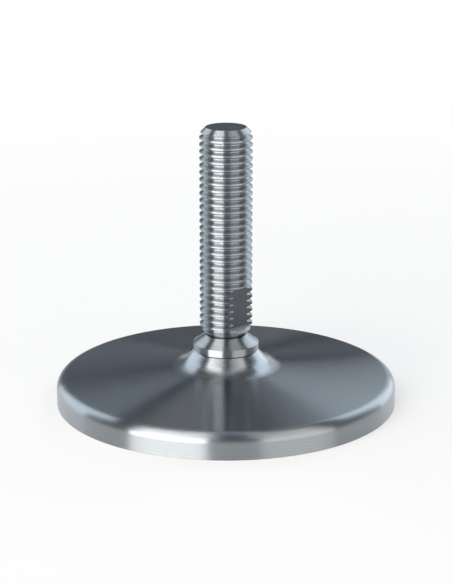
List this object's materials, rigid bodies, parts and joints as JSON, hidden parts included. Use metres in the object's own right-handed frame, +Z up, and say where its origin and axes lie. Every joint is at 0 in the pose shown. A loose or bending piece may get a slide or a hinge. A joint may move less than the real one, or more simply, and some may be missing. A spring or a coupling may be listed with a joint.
{
  "type": "machine foot",
  "caption": "Round steel machine foot with a threaded spindle on a ball joint, wrench flats and a sealed socket.",
  "frame": {"origin": "centre of the base's flat underside", "axes": "+Z runs up the spindle when it stands upright, -Y is the front, +X is to its right"},
  "size_m": [0.1238, 0.1238, 0.1016],
  "materials": {
    "base_steel": "turned, satin",
    "spindle_steel": "turned, bright",
    "ring_steel": "plain spring steel",
    "seal_rubber": "matt"
  },
  "bodies": {
    "base": {"base_plate": "base_steel"},
    "swivel": {"snap_ring": "ring_steel"},
    "tilter": {"seal_ring": "seal_rubber"},
    "spindle": {"spindle": "spindle_steel"}
  },
  "joints": [
    {"name": "lean_direction", "type": "hinge", "parent": "base", "child": "swivel", "pos_m": [0, 0, 0.01006], "axis": [0, 0, 1], "continuous": true},
    {"name": "lean", "type": "hinge", "parent": "swivel", "child": "tilter", "pos_m": [0, 0, 0.01006], "axis": [1, 0, 0], "range_deg": [-5, 5]},
    {"name": "spin", "type": "hinge", "parent": "tilter", "child": "spindle", "pos_m": [0, 0, 0.01006], "axis": [0, 0, 1], "continuous": true}
  ]
}
